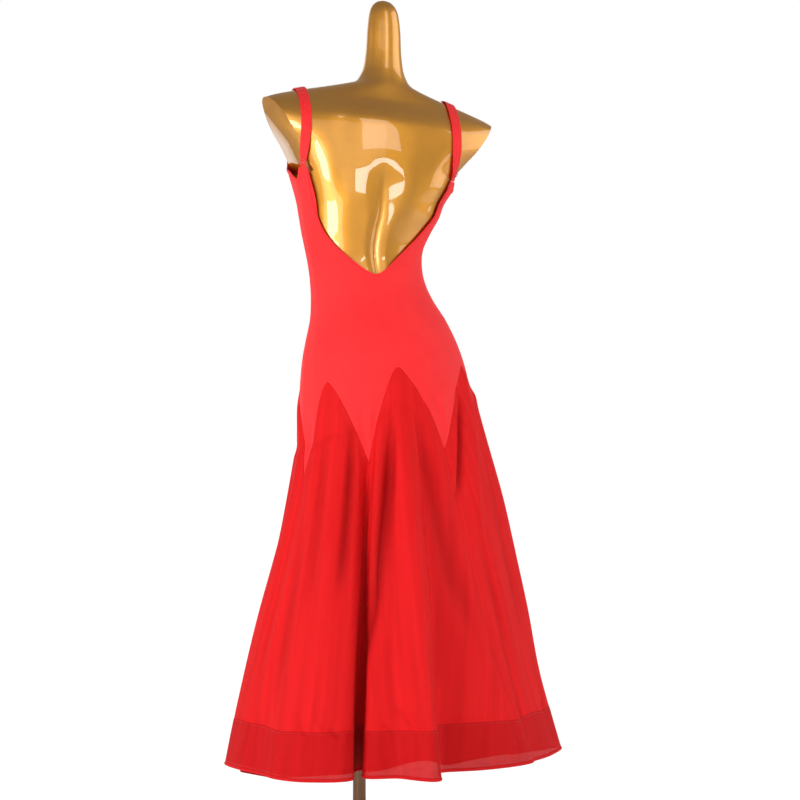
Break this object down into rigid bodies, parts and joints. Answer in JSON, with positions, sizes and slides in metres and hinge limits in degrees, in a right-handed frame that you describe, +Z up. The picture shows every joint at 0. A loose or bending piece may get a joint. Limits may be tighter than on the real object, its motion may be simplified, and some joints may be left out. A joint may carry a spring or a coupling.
{
  "type": "ballroom dance dress on a dress form",
  "caption": "Long sleeveless ballroom dress with a deep U back, thin straps and a flared, pointed-gore skirt, worn by a limbless dress form on a pole stand.",
  "frame": {"origin": "centre of the underside of the stand's base, on the pole's axis", "axes": "+Z up; the dress faces -Y, its open back faces +Y; +X is the wearer's left"},
  "size_m": [0.6525, 0.6368, 1.5254],
  "materials": {
    "gold_gloss": "gold chromed gloss",
    "bronze_pole": "bronze gloss",
    "red_jersey": "matt stretch jersey",
    "red_chiffon": "semi-sheer chiffon",
    "red_hem": "doubled chiffon with a rolled binding",
    "red_enamel": "dark red enamel"
  },
  "bodies": {
    "root": {"bodice_back": "red_jersey", "bodice_front": "red_jersey", "form_torso": "gold_gloss", "gore_back_centre": "red_chiffon", "gore_back_left": "red_chiffon", "gore_back_right": "red_chiffon", "gore_front_centre": "red_chiffon", "gore_front_left": "red_chiffon", "gore_front_right": "red_chiffon", "hem_band_back_centre": "red_hem", "hem_band_back_left": "red_hem", "hem_band_back_right": "red_hem", "hem_band_front_centre": "red_hem", "hem_band_front_left": "red_hem", "hem_band_front_right": "red_hem", "hem_binding": "red_hem", "stand_base": "bronze_pole", "stand_pole": "bronze_pole", "strap_left": "red_jersey", "strap_right": "red_jersey", "strap_slider_left": "red_enamel", "strap_slider_right": "red_enamel"}
  },
  "joints": []
}
